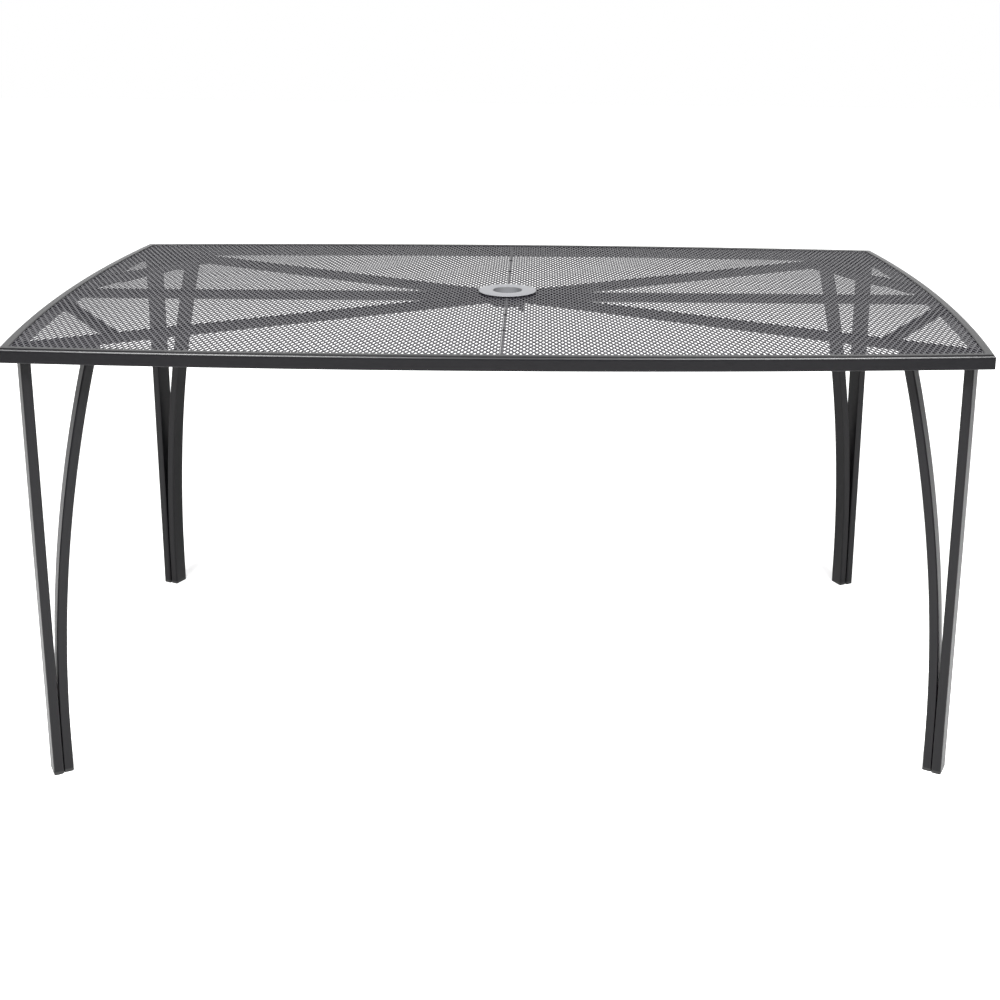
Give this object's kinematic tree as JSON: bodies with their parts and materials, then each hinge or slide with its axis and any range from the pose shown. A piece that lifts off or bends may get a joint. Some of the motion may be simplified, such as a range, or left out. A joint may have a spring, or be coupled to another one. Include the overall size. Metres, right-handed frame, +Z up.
{
  "type": "garden table",
  "caption": "Rectangular steel garden table with bowed sides, an expanded-metal top, a plastic-lined umbrella hole with a clamp screw, and splayed two-tube legs.",
  "frame": {"origin": "on the floor under the centre of the umbrella hole", "axes": "+X along the table's length, +Y from the front long side to the back one, +Z up"},
  "size_m": [1.542, 0.91, 0.7222],
  "materials": {
    "frame_paint": "satin charcoal powder coat",
    "mesh_paint": "satin charcoal powder coat on expanded metal",
    "ring_plastic": "satin light grey moulding",
    "glide_plastic": "matte black moulding",
    "screw_paint": "dark coated steel",
    "zinc_steel": "zinc-plated steel"
  },
  "bodies": {
    "table": {"front_rail": "frame_paint", "back_rail": "frame_paint", "left_end_rail": "frame_paint", "right_end_rail": "frame_paint", "seam_bar_front": "frame_paint", "seam_bar_back": "frame_paint", "seam_welds": "frame_paint", "spine_left": "frame_paint", "spine_right": "frame_paint", "umbrella_collar": "frame_paint", "clamp_nut": "frame_paint", "diagonal_brace_front_left": "frame_paint", "end_brace_front_left": "frame_paint", "outer_tube_front_left": "frame_paint", "inner_tube_front_left": "frame_paint", "leg_plate_front_left": "frame_paint", "mounting_pad_front_left": "frame_paint", "diagonal_brace_front_right": "frame_paint", "end_brace_front_right": "frame_paint", "outer_tube_front_right": "frame_paint", "inner_tube_front_right": "frame_paint", "leg_plate_front_right": "frame_paint", "mounting_pad_front_right": "frame_paint", "diagonal_brace_back_left": "frame_paint", "end_brace_back_left": "frame_paint", "outer_tube_back_left": "frame_paint", "inner_tube_back_left": "frame_paint", "leg_plate_back_left": "frame_paint", "mounting_pad_back_left": "frame_paint", "diagonal_brace_back_right": "frame_paint", "end_brace_back_right": "frame_paint", "outer_tube_back_right": "frame_paint", "inner_tube_back_right": "frame_paint", "leg_plate_back_right": "frame_paint", "mounting_pad_back_right": "frame_paint", "mesh_sheet_left": "mesh_paint", "mesh_sheet_right": "mesh_paint", "umbrella_ring": "ring_plastic", "foot_glides_front_left": "glide_plastic", "foot_glides_front_right": "glide_plastic", "foot_glides_back_left": "glide_plastic", "foot_glides_back_right": "glide_plastic", "leg_bolts": "zinc_steel", "leg_washers": "zinc_steel", "weld_nuts": "zinc_steel"},
    "clamp_screw": {"clamp_screw": "screw_paint"}
  },
  "joints": [
    {"name": "clamp_slide", "type": "slide", "parent": "table", "child": "clamp_screw", "axis": [-0.4226, 0.9063, 0], "range_m": [0, 0.016]}
  ]
}
